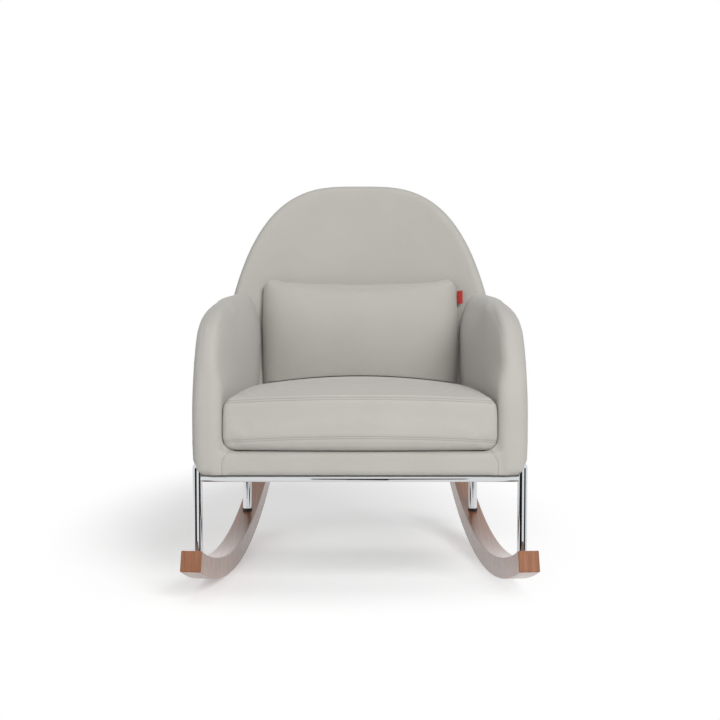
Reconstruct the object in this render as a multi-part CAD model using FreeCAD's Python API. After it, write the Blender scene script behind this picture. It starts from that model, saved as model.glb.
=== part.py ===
"""Upholstered rocking chair on walnut runners and a chromed tube base, with a loose cushion and pillow.

Frame: +Z up, -Y is the front, +X the sitter's left. The origin is on the floor, midway between the two
points where the runners touch it. All lengths are millimetres and all angles are degrees.
"""

import FreeCAD
import Part

import math
import os

V = FreeCAD.Vector

# Runners: two arcs, closer together at the back than at the front
RUNNER_RADIUS = 1146.0
RUNNER_WIDTH = 46.0
RUNNER_DEPTH = 47.0
RUNNER_EDGE = 2.5
RUNNER_FRONT_RUN = 395.0
RUNNER_REAR_RUN = 540.0
RUNNER_OUTSET = 18.1
TOE_IN = 6.61

# Legs and the bars of the base
LEG_DIAMETER = 21.5
TUBE_WALL = 1.5
LEG_RUN = 310.0
LEG_POCKET_DEPTH = 26.0
LEG_SOCKET = 16.0
LEG_BUSH_WALL = 1.2
LEG_BUSH_LIP = 0.8
LEG_PLUG_LENGTH = 26.0
BAR_DIAMETER = 16.0
BAR_HEIGHT = 261.6
BOLT_DIAMETER = 8.0
BOLT_HEAD_DIAMETER = 13.0
BOLT_HEAD_HEIGHT = 8.0
BOLT_KEY_DIAMETER = 5.8
COUNTERBORE_DIAMETER = 16.0
COUNTERBORE_DEPTH = 15.0
TAB_LENGTH = 40.0
TAB_THICKNESS = 3.0
TAB_MARGIN = 14.0
TAB_CORNER = 10.0
TAB_PLACES = (-230.0, 60.0)
SCREW_DIAMETER = 6.0
SCREW_HEAD_DIAMETER = 12.0
SCREW_HEAD_HEIGHT = 3.5
SCREW_BITE = 25.0

# Seat box under the deck
BODY_GAP = 0.4
BODY_FRONT = -327.0
SEAT_HALF_WIDTH = 301.0
SEAT_TOE_IN = 7.2
SEAT_BOX_HEIGHT = 51.0
DECK_PAD = 4.0
RAIL_THICKNESS = 22.0
RAIL_LIFT = 2.0
CORNER_BLOCK = 50.0
DUST_COVER = 1.5
WEBBING_WIDTH = 50.0
WEBBING_THICKNESS = 1.6
WEBBING_DROP = 12.0
LENGTHWISE_STRAPS = 4
CROSSWISE_STRAPS = 4

# Arms
ARM_OUTER_OFFSET = 7.3
ARM_EDGE = 24.0
ARM_FOOT_EDGE = 18.0
ARM_HEIGHT = 375.0
ARM_REAR_RUN = 240.0
ARM_SWEEP = ((0.0, 245.0), (10.0, 177.0), (29.0, 120.0), (64.0, 60.0), (121.0, 23.0), (216.0, 4.0))
ARM_LEVEL_RUN = 330.0
ARM_PANEL_THICKNESS = 18.0
ARM_PANEL_OFFSET = -34.0
ARM_PANEL_MARGIN = 28.0
ARM_BOLT_PLACES = (-200.0, 20.0)
ARM_BOLT_RISE = 27.0
ARM_BOLT_DIAMETER = 6.0
ARM_BOLT_HEAD_DIAMETER = 14.0
ARM_BOLT_HEAD_HEIGHT = 3.0
ARM_BOLT_LENGTH = 60.0
FRONT_PAD_DEPTH = 28.0
FRONT_PAD_EDGE = 12.0

# Back shell
BACK_HEIGHT = 631.0
BACK_OUTSET = 7.0
BACK_BASE_INSET = 5.0
BACK_ARCH = ((0.0, 269.0), (39.0, 156.0), (73.0, 96.0), (113.0, 51.0), (192.0, 9.0))
BACK_RECLINE = 11.4
BACK_INNER_RADIUS = 700.0
BACK_INNER_BASE = 167.0
BACK_OUTER_RECLINE = 4.8
BACK_OUTER_RADIUS = 2200.0
BACK_OUTER_BASE = 330.0
BACK_RIM = 14.0
BACK_COVER = 14.0
BACK_PAD = 60.0
BACK_FRAME_THICKNESS = 18.0
BACK_FRAME_WIDTH = 60.0
BACK_SLAT_HEIGHT = 80.0
BACK_SLAT_RISE = 250.0

# Loose seat cushion
CUSHION_GAP = 1.0
CUSHION_LIFT = 0.5
CUSHION_THICKNESS = 141.0
CUSHION_CROWN_RADIUS = 1700.0
CUSHION_CROWN_CENTRE = -80.0
CUSHION_FRONT_BULGE = 12.0
CUSHION_EDGE = 20.0
CUSHION_FOOT_EDGE = 30.0
CUSHION_END_EDGE = 14.0
CUSHION_BACK_GAP = 8.0

# Loose lumbar pillow
PILLOW_WIDTH = 464.0
PILLOW_HEIGHT = 254.0
PILLOW_THICKNESS = 104.0
PILLOW_END_THICKNESS = 14.0
PILLOW_DRAWN_IN = 15.0
PILLOW_GAP = 2.0
PILLOW_SINK = 27.0
PILLOW_SLICES = (-1.0, -0.9, -0.62, 0.0, 0.62, 0.9, 1.0)
FLAG_WIDTH = 13.0
FLAG_HEIGHT = 32.0
FLAG_THICKNESS = 1.2
FLAG_LEVEL = 78.0
FLAG_TURN = -60.0

# Clearances shared by mating pieces
POCKET_CLEARANCE = 0.5
HOLE_CLEARANCE = 0.2
REST_CLEARANCE = 0.2

# Levels and half widths that follow from the sizes above
CONTACT_HALF_SPAN = SEAT_HALF_WIDTH + RUNNER_OUTSET
BODY_BOTTOM = BAR_HEIGHT + BAR_DIAMETER / 2 + BODY_GAP
LEG_TOP = BODY_BOTTOM + LEG_POCKET_DEPTH
DECK_TOP = BODY_BOTTOM + SEAT_BOX_HEIGHT
ARM_TOP = BODY_BOTTOM + ARM_HEIGHT
ARM_BOLT_LEVEL = BODY_BOTTOM + ARM_BOLT_RISE
BACK_TOP = BODY_BOTTOM + BACK_HEIGHT
BACK_HALF_WIDTH = SEAT_HALF_WIDTH + BACK_OUTSET
BACK_SLAT_LEVEL = BODY_BOTTOM + BACK_SLAT_RISE
CUSHION_TOP = DECK_TOP + CUSHION_THICKNESS
PILLOW_BOTTOM = CUSHION_TOP - PILLOW_SINK


def on_runner(shape):
    """Turn a shape modelled along its run into the left-hand runner's plane."""
    placed = shape.copy()
    placed.rotate(V(0, 0, 0), V(0, 0, 1), TOE_IN)
    placed.translate(V(CONTACT_HALF_SPAN, 0, 0))
    return placed


def on_seat_side(shape, y):
    """Turn a shape modelled on the YZ plane to the left arm's inner face at a distance y."""
    placed = shape.copy()
    placed.rotate(V(0, 0, 0), V(0, 0, 1), SEAT_TOE_IN)
    placed.translate(V(inner_face_x(y), y, 0))
    return placed


def both(shape):
    """A left-hand shape and its right-hand copy."""
    return [shape, shape.mirror(V(0, 0, 0), V(1, 0, 0))]


def run_point(run, offset=0.0):
    """The place in plan of a point along the left-hand runner, offset outwards."""
    toe = math.radians(TOE_IN)
    x = CONTACT_HALF_SPAN - run * math.sin(toe) + offset * math.cos(toe)
    y = run * math.cos(toe) + offset * math.sin(toe)
    return V(x, y, 0)


def inner_face_x(y, gap=0.0):
    """Half of the clear width between the arms at a distance y, less a gap."""
    toe = math.radians(SEAT_TOE_IN)
    return SEAT_HALF_WIDTH - (y - BODY_FRONT) * math.tan(toe) - gap / math.cos(toe)


def runner_level(run, radius):
    """Height of a runner's curve of that radius at a run from the point of contact."""
    return RUNNER_RADIUS - math.sqrt(radius**2 - run**2)


def largest(shape):
    """The largest solid of a shape that a cut left in several."""
    return max(shape.Solids, key=lambda solid: solid.Volume)


def edges_where(shape, wanted):
    """The edges of a shape for which wanted(edge) is true."""
    return [edge for edge in shape.Edges if wanted(edge)]


def upright(centre, radius, low, high):
    """A vertical cylinder."""
    return Part.makeCylinder(radius, high - low, V(centre.x, centre.y, low))


def prism(points, low, high):
    """A vertical prism on a plan outline."""
    outline = [V(p.x, p.y, low) for p in points]
    face = Part.Face(Part.makePolygon(outline + outline[:1]))
    return face.extrude(V(0, 0, high - low))


def leg_runs():
    return (-LEG_RUN, LEG_RUN)


def leg_foot():
    """Height of the bottom of a leg in its socket."""
    return runner_level(LEG_RUN, RUNNER_RADIUS - RUNNER_DEPTH) - LEG_SOCKET


def bolt_seat():
    """Height of the bolt head's seat in the runner's underside."""
    return runner_level(LEG_RUN, RUNNER_RADIUS) + COUNTERBORE_DEPTH


def bush_radius():
    return LEG_DIAMETER / 2 + LEG_BUSH_WALL


def runner_bar(edge):
    """A runner's plain bar along its run, with its edges rounded."""
    centre = V(0, 0, RUNNER_RADIUS)
    inner = (RUNNER_RADIUS - RUNNER_DEPTH) / RUNNER_RADIUS
    runs = (-RUNNER_FRONT_RUN, 0, RUNNER_REAR_RUN)
    bottom = [V(0, run, runner_level(run, RUNNER_RADIUS)) for run in runs]
    top = [centre + (point - centre) * inner for point in bottom]
    outline = Part.Wire(
        [
            Part.Arc(*bottom).toShape(),
            Part.LineSegment(bottom[2], top[2]).toShape(),
            Part.Arc(*reversed(top)).toShape(),
            Part.LineSegment(top[0], bottom[0]).toShape(),
        ]
    )
    bar = Part.Face(outline).extrude(V(RUNNER_WIDTH, 0, 0))
    bar.translate(V(-RUNNER_WIDTH / 2, 0, 0))
    return bar.makeFillet(edge, bar.Edges)


def make_runner():
    bar = runner_bar(RUNNER_EDGE)
    for run in leg_runs():
        at = V(0, run, 0)
        bar = bar.cut(upright(at, bush_radius(), leg_foot(), leg_foot() + 2 * RUNNER_DEPTH))
        bar = bar.cut(upright(at, BOLT_DIAMETER / 2 + HOLE_CLEARANCE, 0, leg_foot()))
        bar = bar.cut(upright(at, COUNTERBORE_DIAMETER / 2, 0, bolt_seat()))
    return on_runner(bar)


def make_bolt_plug(run):
    """A turned walnut plug that closes a counterbore flush with the runner's underside."""
    high = bolt_seat() - BOLT_HEAD_HEIGHT - REST_CLEARANCE
    plug = upright(V(0, run, 0), COUNTERBORE_DIAMETER / 2, 0, high)
    return on_runner(largest(plug.common(runner_bar(RUNNER_EDGE))))


def make_bush(run):
    """A nylon sleeve round a leg's foot, with its rim just proud of the runner."""
    at = run_point(run)
    high = runner_level(LEG_RUN + bush_radius(), RUNNER_RADIUS - RUNNER_DEPTH) + LEG_BUSH_LIP
    sleeve = upright(at, bush_radius(), leg_foot(), high)
    return sleeve.cut(upright(at, LEG_DIAMETER / 2, leg_foot(), high))


def make_leg(run):
    """A tube leg with a domed end."""
    at = run_point(run)
    radius = LEG_DIAMETER / 2
    dome = Part.makeSphere(radius, V(at.x, at.y, LEG_TOP - radius))
    tube = upright(at, radius, leg_foot(), LEG_TOP - radius).fuse(dome).removeSplitter()
    return tube.cut(upright(at, radius - TUBE_WALL, leg_foot(), LEG_TOP - radius))


def make_leg_insert(run):
    """A threaded steel insert pressed into the foot of a leg."""
    at = run_point(run)
    insert = upright(at, LEG_DIAMETER / 2 - TUBE_WALL, leg_foot(), leg_foot() + LEG_PLUG_LENGTH)
    return insert.cut(upright(at, BOLT_DIAMETER / 2, leg_foot(), leg_foot() + LEG_PLUG_LENGTH))


def make_runner_bolt(run):
    at = run_point(run)
    low = bolt_seat() - BOLT_HEAD_HEIGHT
    head = upright(at, BOLT_HEAD_DIAMETER / 2, low, bolt_seat())
    shank = upright(at, BOLT_DIAMETER / 2, bolt_seat(), leg_foot() + LEG_PLUG_LENGTH)
    key = upright(at, BOLT_KEY_DIAMETER / 2, low, low + BOLT_HEAD_HEIGHT / 2)
    return head.fuse(shank).removeSplitter().cut(key)


def bar_between(start, end):
    """A tube at bar height between two legs, coped to their walls."""
    a = V(start.x, start.y, BAR_HEIGHT)
    b = V(end.x, end.y, BAR_HEIGHT)
    along = b - a
    tube = Part.makeCylinder(BAR_DIAMETER / 2, along.Length, a, along)
    tube = tube.cut(Part.makeCylinder(BAR_DIAMETER / 2 - TUBE_WALL, along.Length, a, along))
    for leg in (start, end):
        wall = upright(leg, LEG_DIAMETER / 2, BAR_HEIGHT - BAR_DIAMETER, BAR_HEIGHT + BAR_DIAMETER)
        tube = tube.cut(wall)
    return largest(tube)


def side_bar():
    """The bar between a side's two legs, also coped to the crossbars that meet it there."""
    bar = bar_between(run_point(-LEG_RUN), run_point(LEG_RUN))
    for run in leg_runs():
        leg = run_point(run)
        crossbar = Part.makeCylinder(BAR_DIAMETER / 2, leg.x, V(0, leg.y, BAR_HEIGHT), V(1, 0, 0))
        bar = bar.cut(crossbar)
    return largest(bar)


def screw_points():
    """Places of the seat screws of the left-hand side, in the middle of the seat rail."""
    return [V(inner_face_x(y, RAIL_THICKNESS / 2), y, 0) for y in TAB_PLACES]


def tab_low():
    return BAR_HEIGHT - TAB_THICKNESS / 2


def make_tab(at):
    """A plate welded to the side bar and reaching in under the seat rail, with a spacer round its screw."""
    high = tab_low() + TAB_THICKNESS
    run = at.y / math.cos(math.radians(TOE_IN))
    reach = run_point(run).x - at.x + TAB_MARGIN
    plate = Part.makeBox(reach, TAB_LENGTH, TAB_THICKNESS, V(-reach, run - TAB_LENGTH / 2, tab_low()))
    corners = edges_where(plate, lambda e: e.BoundBox.ZLength > 1 and e.CenterOfMass.x < -reach / 2)
    plate = on_runner(plate.makeFillet(TAB_CORNER, corners))
    spacer = upright(at, SCREW_HEAD_DIAMETER / 2, high, rail_levels()[0])
    plate = plate.fuse(spacer).removeSplitter()
    plate = plate.cut(upright(at, SCREW_DIAMETER / 2, tab_low(), rail_levels()[0]))
    a = run_point(-LEG_RUN) + V(0, 0, BAR_HEIGHT)
    b = run_point(LEG_RUN) + V(0, 0, BAR_HEIGHT)
    return largest(plate.cut(Part.makeCylinder(BAR_DIAMETER / 2, (b - a).Length, a, b - a)))


def make_tab_screw(at):
    low = tab_low() - SCREW_HEAD_HEIGHT
    head = upright(at, SCREW_HEAD_DIAMETER / 2, low, tab_low())
    rim = edges_where(head, lambda e: e.BoundBox.ZMax < low + 0.01 and e.BoundBox.XLength > 1)
    head = head.makeFillet(SCREW_HEAD_HEIGHT * 0.6, rim)
    shank = upright(at, SCREW_DIAMETER / 2, tab_low(), rail_levels()[0] + SCREW_BITE)
    return head.fuse(shank).removeSplitter()


def rail_levels():
    return BODY_BOTTOM + RAIL_LIFT, DECK_TOP - DECK_PAD


def box_front():
    """Front face of the wooden seat box."""
    return BODY_FRONT + FRONT_PAD_DEPTH


def box_rear():
    """Rear face of the wooden seat box, just in front of the back's lower edge."""
    return back_face_y(BODY_BOTTOM, inner_face_x(0.0)) - REST_CLEARANCE


def back_face_y(level, x):
    """Distance of the back's padded face at a height and a distance from the middle."""
    lean = math.radians(BACK_RECLINE)
    drop = BACK_INNER_RADIUS - math.sqrt(BACK_INNER_RADIUS**2 - x**2)
    return BACK_INNER_BASE + (level - DECK_TOP) * math.tan(lean) - drop / math.cos(lean)


def seat_outline(front, rear, gap):
    """Plan of the space between the arms, from front to rear, less a gap at the arms."""
    return [
        V(-inner_face_x(front, gap), front, 0),
        V(inner_face_x(front, gap), front, 0),
        V(inner_face_x(rear, gap), rear, 0),
        V(-inner_face_x(rear, gap), rear, 0),
    ]


def make_side_rail():
    low, high = rail_levels()
    front, rear = box_front(), box_rear()
    points = [
        V(inner_face_x(front), front, 0),
        V(inner_face_x(rear), rear, 0),
        V(inner_face_x(rear, RAIL_THICKNESS), rear, 0),
        V(inner_face_x(front, RAIL_THICKNESS), front, 0),
    ]
    rail = prism(points, low, high)
    for y in ARM_BOLT_PLACES:
        rail = rail.cut(arm_bolt_hole(y))
    for at in screw_points():
        rail = rail.cut(upright(at, SCREW_DIAMETER / 2, low, low + SCREW_BITE))
    return rail


def make_end_rail(front_face):
    low, high = rail_levels()
    outline = seat_outline(front_face, front_face + RAIL_THICKNESS, RAIL_THICKNESS)
    return prism(outline, low, high)


def make_corner_block(y, into):
    """A triangular block between a side rail and an end rail; into is 1 at the front and -1 at the rear."""
    low, high = rail_levels()
    far = y + into * CORNER_BLOCK
    points = [
        V(inner_face_x(y, RAIL_THICKNESS), y, 0),
        V(inner_face_x(far, RAIL_THICKNESS), far, 0),
        V(inner_face_x(y, RAIL_THICKNESS) - CORNER_BLOCK, y, 0),
    ]
    return prism(points, low, (low + high) / 2)


def inside_box():
    """Front and rear limits of the space inside the seat box."""
    return box_front() + RAIL_THICKNESS, box_rear() - RAIL_THICKNESS


def make_lengthwise_webbing():
    front, rear = inside_box()
    low = rail_levels()[1] - WEBBING_DROP
    pitch = 2 * inner_face_x(rear, RAIL_THICKNESS) / LENGTHWISE_STRAPS
    straps = []
    for i in range(LENGTHWISE_STRAPS):
        x = (i - (LENGTHWISE_STRAPS - 1) / 2) * pitch - WEBBING_WIDTH / 2
        straps.append(Part.makeBox(WEBBING_WIDTH, rear - front, WEBBING_THICKNESS, V(x, front, low)))
    return straps


def make_crosswise_webbing():
    front, rear = inside_box()
    low = rail_levels()[1] - WEBBING_DROP + WEBBING_THICKNESS
    pitch = (rear - front) / (CROSSWISE_STRAPS + 1)
    straps = []
    for i in range(CROSSWISE_STRAPS):
        y = front + (i + 1) * pitch - WEBBING_WIDTH / 2
        outline = seat_outline(y, y + WEBBING_WIDTH, RAIL_THICKNESS)
        straps.append(prism(outline, low, low + WEBBING_THICKNESS))
    return straps


def make_deck_pad():
    sheet = prism(seat_outline(box_front(), BACK_INNER_BASE, 0.0), DECK_TOP - DECK_PAD, DECK_TOP)
    return largest(sheet.common(back_face()))


def make_dust_cover():
    high = rail_levels()[0]
    cover = prism(seat_outline(box_front(), BACK_INNER_BASE, 0.0), high - DUST_COVER, high)
    cover = largest(cover.common(back_face()))
    for at in screw_points():
        for hole in both(upright(at, SCREW_HEAD_DIAMETER / 2 + HOLE_CLEARANCE, BODY_BOTTOM, high)):
            cover = cover.cut(hole)
    return cover


def arm_curve(margin):
    """The arm's sweeping front and level top as seen from the side, drawn in by a margin."""
    front = BODY_FRONT / math.cos(math.radians(TOE_IN))
    points = []
    for back, drop in ARM_SWEEP:
        up = 1 - drop / ARM_SWEEP[0][1]
        points.append(V(0, front + back + margin * math.sqrt(1 - up**2), ARM_TOP - drop - margin * up))
    points.append(V(0, front + ARM_LEVEL_RUN, ARM_TOP - margin))
    curve = Part.BSplineCurve()
    curve.interpolate(Points=points, InitialTangent=V(0, 0, 1), FinalTangent=V(0, 1, 0))
    return curve.toShape(), points[0], points[-1]


def arm_profile(margin):
    """Side view of an arm, drawn in by a margin."""
    curve, start, end = arm_curve(margin)
    foot = V(0, start.y, BODY_BOTTOM)
    heel = V(0, ARM_REAR_RUN - margin, BODY_BOTTOM)
    head = V(0, heel.y, end.z)
    edges = [
        Part.LineSegment(foot, start).toShape(),
        curve,
        Part.LineSegment(end, head).toShape(),
        Part.LineSegment(head, heel).toShape(),
        Part.LineSegment(heel, foot).toShape(),
    ]
    return Part.Face(Part.Wire(edges))


def arm_bolt_hole(y):
    """The hole of an arm bolt, through the seat rail and the inner padding into the arm's panel."""
    start = V(-RAIL_THICKNESS, 0, ARM_BOLT_LEVEL)
    return on_seat_side(Part.makeCylinder(ARM_BOLT_DIAMETER / 2, ARM_BOLT_LENGTH, start, V(1, 0, 0)), y)


def make_arm_bolt(y):
    start = V(-RAIL_THICKNESS - ARM_BOLT_HEAD_HEIGHT, 0, ARM_BOLT_LEVEL)
    head = Part.makeCylinder(ARM_BOLT_HEAD_DIAMETER / 2, ARM_BOLT_HEAD_HEIGHT, start, V(1, 0, 0))
    return on_seat_side(head, y).fuse(arm_bolt_hole(y)).removeSplitter()


def make_arm_panel(back):
    """The plywood panel inside an arm."""
    panel = arm_profile(ARM_PANEL_MARGIN).extrude(V(ARM_PANEL_THICKNESS, 0, 0))
    panel.translate(V(ARM_PANEL_OFFSET, 0, 0))
    panel = on_runner(panel).cut(back)
    for y in ARM_BOLT_PLACES:
        panel = panel.cut(arm_bolt_hole(y))
    return largest(panel)


def make_arm_pad(panel, back):
    """The padded arm: rounded along its front, top and lower outer edge, slotted for its panel."""
    depth = SEAT_HALF_WIDTH / 2
    block = arm_profile(0.0).extrude(V(depth, 0, 0))
    block.translate(V(ARM_OUTER_OFFSET - depth, 0, 0))
    block = on_runner(block)
    seat = prism(seat_outline(2 * BODY_FRONT, -2 * BODY_FRONT, 0.0), 0, BACK_TOP)
    block = largest(block.cut(seat))
    rear = run_point(ARM_REAR_RUN, -SEAT_HALF_WIDTH / 2).y - 1
    long_edges = edges_where(
        block,
        lambda e: e.CenterOfMass.z > BODY_BOTTOM + 1
        and e.BoundBox.YMin < rear - ARM_REAR_RUN / 3
        and e.BoundBox.YLength + e.BoundBox.ZLength > e.BoundBox.XLength + 2 * ARM_EDGE,
    )
    block = block.makeFillet(ARM_EDGE, long_edges)
    outer = run_point(0.0, ARM_OUTER_OFFSET)
    foot = edges_where(
        block,
        lambda e: e.BoundBox.ZMax < BODY_BOTTOM + 0.01
        and e.BoundBox.YLength > ARM_REAR_RUN
        and e.CenterOfMass.x > outer.x - ARM_EDGE,
    )
    block = block.makeFillet(ARM_FOOT_EDGE, foot)
    for run in leg_runs():
        pocket = upright(run_point(run), LEG_DIAMETER / 2 + POCKET_CLEARANCE, 0, LEG_TOP + REST_CLEARANCE)
        block = block.cut(pocket)
    for y in ARM_BOLT_PLACES:
        block = block.cut(arm_bolt_hole(y))
    return largest(block.cut(panel).cut(back))


def make_front_pad():
    outline = seat_outline(BODY_FRONT, box_front(), 0.0)
    pad = prism(outline, BODY_BOTTOM, DECK_TOP)
    front = edges_where(
        pad,
        lambda e: e.BoundBox.YMax < BODY_FRONT + 0.01 and e.BoundBox.ZLength < 0.01,
    )
    return pad.makeFillet(FRONT_PAD_EDGE, front)


def back_prism(margin):
    """Front view of the back, carried rearwards: an arch on tapered sides, drawn in by a margin."""
    drawn = []
    for inset, drop in BACK_ARCH:
        up = 1 - drop / BACK_ARCH[0][1]
        x = BACK_HALF_WIDTH - inset - margin * math.sqrt(1 - up**2)
        drawn.append(V(x, 0, BACK_TOP - drop - margin * up))
    crown = V(0, 0, BACK_TOP - margin)
    arch = Part.BSplineCurve()
    arch.interpolate(Points=drawn + [crown] + [V(-p.x, 0, p.z) for p in reversed(drawn)])
    left = V(SEAT_HALF_WIDTH - BACK_BASE_INSET - margin, 0, BODY_BOTTOM + margin)
    right = V(-left.x, 0, left.z)
    edges = [
        Part.LineSegment(right, left).toShape(),
        Part.LineSegment(left, drawn[0]).toShape(),
        arch.toShape(),
        Part.LineSegment(V(-drawn[0].x, 0, drawn[0].z), right).toShape(),
    ]
    return Part.Face(Part.Wire(edges)).extrude(V(0, 2 * BACK_OUTER_BASE, 0))


def leaning_cylinder(radius, recline, base, level, grow):
    """A leaning cylinder whose rearmost line passes through (base, level), grown by a distance."""
    lean = math.radians(recline)
    along = V(0, math.sin(lean), math.cos(lean))
    rearward = V(0, math.cos(lean), -math.sin(lean))
    foot = V(0, base, level) - rearward * radius - along * BACK_TOP
    return Part.makeCylinder(radius + grow, 3 * BACK_TOP, foot, along)


def back_face(grow=0.0):
    """The space in front of the back's padded face, grown rearwards by a distance."""
    return leaning_cylinder(BACK_INNER_RADIUS, BACK_RECLINE, BACK_INNER_BASE, DECK_TOP, grow)


def back_rear(shrink=0.0):
    """The space in front of the back's rear face, drawn in by a distance."""
    return leaning_cylinder(BACK_OUTER_RADIUS, BACK_OUTER_RECLINE, BACK_OUTER_BASE, BODY_BOTTOM, -shrink)


def make_back_block():
    """The whole back, before it is divided into its cover, pad and frame."""
    block = largest(back_prism(0.0).common(back_rear()).cut(back_face()))
    rim = edges_where(block, lambda e: e.BoundBox.ZMax > ARM_TOP and e.BoundBox.XLength > BACK_HALF_WIDTH)
    return block.makeFillet(BACK_RIM, rim)


def make_back_pad(block):
    return largest(block.common(back_prism(BACK_COVER)).common(back_face(BACK_PAD)))


def make_back_cover(block):
    """The covered tray of the outside back, open towards the pad."""
    hollow = back_prism(BACK_COVER).common(back_rear(BACK_COVER))
    cover = largest(block.cut(hollow))
    radius = LEG_DIAMETER / 2 + POCKET_CLEARANCE
    for pocket in both(upright(run_point(LEG_RUN), radius, 0, LEG_TOP + REST_CLEARANCE)):
        cover = largest(cover.cut(pocket))
    return cover


def make_back_frame():
    """A bent plywood hoop behind the pad, with one slat across it."""
    width = 2 * BACK_HALF_WIDTH
    slat = Part.makeBox(width, width, BACK_SLAT_HEIGHT, V(-width / 2, 0, BACK_SLAT_LEVEL))
    opening = back_prism(BACK_COVER + BACK_FRAME_WIDTH).cut(slat)
    hoop = back_prism(BACK_COVER).cut(opening)
    sheet = hoop.common(back_face(BACK_PAD + BACK_FRAME_THICKNESS)).cut(back_face(BACK_PAD))
    return largest(sheet.common(back_rear(BACK_COVER)))


def make_seat_cushion():
    """A boxed cushion with a crowned top, a bowed front and a rear edge that follows the back."""
    low = DECK_TOP + CUSHION_LIFT
    rear_x = inner_face_x(BACK_INNER_BASE / 2)
    rear_y = back_face_y(DECK_TOP, rear_x) - CUSHION_BACK_GAP
    corners = [
        V(-inner_face_x(BODY_FRONT, CUSHION_GAP), BODY_FRONT, low),
        V(inner_face_x(BODY_FRONT, CUSHION_GAP), BODY_FRONT, low),
        V(inner_face_x(rear_y, CUSHION_GAP), rear_y, low),
        V(-inner_face_x(rear_y, CUSHION_GAP), rear_y, low),
    ]
    bow = V(0, BODY_FRONT - CUSHION_FRONT_BULGE, low)
    stern = V(0, BACK_INNER_BASE - CUSHION_BACK_GAP, low)
    outline = Part.Wire(
        [
            Part.Arc(corners[0], bow, corners[1]).toShape(),
            Part.LineSegment(corners[1], corners[2]).toShape(),
            Part.Arc(corners[2], stern, corners[3]).toShape(),
            Part.LineSegment(corners[3], corners[0]).toShape(),
        ]
    )
    block = Part.Face(outline).extrude(V(0, 0, CUSHION_TOP - low + 1))
    centre = V(0, CUSHION_CROWN_CENTRE, CUSHION_TOP - CUSHION_CROWN_RADIUS)
    block = largest(block.common(Part.makeSphere(CUSHION_CROWN_RADIUS, centre)))
    middle = (low + CUSHION_TOP) / 2
    length = rear_y - BODY_FRONT
    top = edges_where(block, lambda e: e.BoundBox.ZMin > middle and e.BoundBox.YLength > length / 2)
    block = block.makeFillet(CUSHION_EDGE, top)
    foot = edges_where(block, lambda e: e.BoundBox.ZMax < middle and e.BoundBox.YLength > length / 2)
    block = block.makeFillet(CUSHION_FOOT_EDGE, [edge for edge in foot if edge.BoundBox.ZMax < low + REST_CLEARANCE])
    front = edges_where(block, lambda e: e.BoundBox.YMax < BODY_FRONT + REST_CLEARANCE)
    block = block.makeFillet(CUSHION_END_EDGE, front)
    rear = edges_where(block, lambda e: e.BoundBox.YMin > rear_y - REST_CLEARANCE)
    return block.makeFillet(CUSHION_END_EDGE, rear)


def pillow_slice(share):
    """A lens-shaped slice of the pillow at a share of its half width, thinner and taller towards its ends."""
    x = share * PILLOW_WIDTH / 2
    half_height = PILLOW_HEIGHT / 2 - PILLOW_DRAWN_IN * (1 - share**2)
    swell = math.sqrt(1 - share**4)
    half = (PILLOW_END_THICKNESS + (PILLOW_THICKNESS - PILLOW_END_THICKNESS) * swell) / 2
    top = V(x, 0, half_height)
    bottom = V(x, 0, -half_height)
    front = Part.Arc(bottom, V(x, -half, 0), top).toShape()
    rear = Part.Arc(top, V(x, half, 0), bottom).toShape()
    return Part.Wire([front, rear])


def lean_on_back(shape):
    """Stand a shape modelled about the pillow's centre against the back's padded face."""
    lean = math.radians(BACK_RECLINE)
    placed = shape.copy()
    placed.rotate(V(0, 0, 0), V(1, 0, 0), -BACK_RECLINE)
    level = PILLOW_BOTTOM + PILLOW_HEIGHT / 2 * math.cos(lean)
    off = (PILLOW_THICKNESS / 2 + PILLOW_GAP) / math.cos(lean)
    placed.translate(V(0, back_face_y(level, 0.0) - off, level))
    return placed


def make_lumbar_pillow():
    """The stuffed pillow, its rear pressed to the curve of the back."""
    stuffed = lean_on_back(Part.makeLoft([pillow_slice(share) for share in PILLOW_SLICES], True, False))
    return largest(stuffed.common(back_face(-PILLOW_GAP)))


def make_pillow_tab(pillow):
    """A plain ribbon tab at the pillow's left end."""
    low = FLAG_LEVEL - FLAG_HEIGHT / 2
    flag = Part.makeBox(FLAG_WIDTH, FLAG_THICKNESS, FLAG_HEIGHT, V(0, -FLAG_THICKNESS / 2, low))
    flag.rotate(V(0, 0, 0), V(0, 0, 1), FLAG_TURN)
    flag.translate(V(PILLOW_WIDTH / 2, 0, 0))
    return largest(lean_on_back(flag).cut(pillow))


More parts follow.
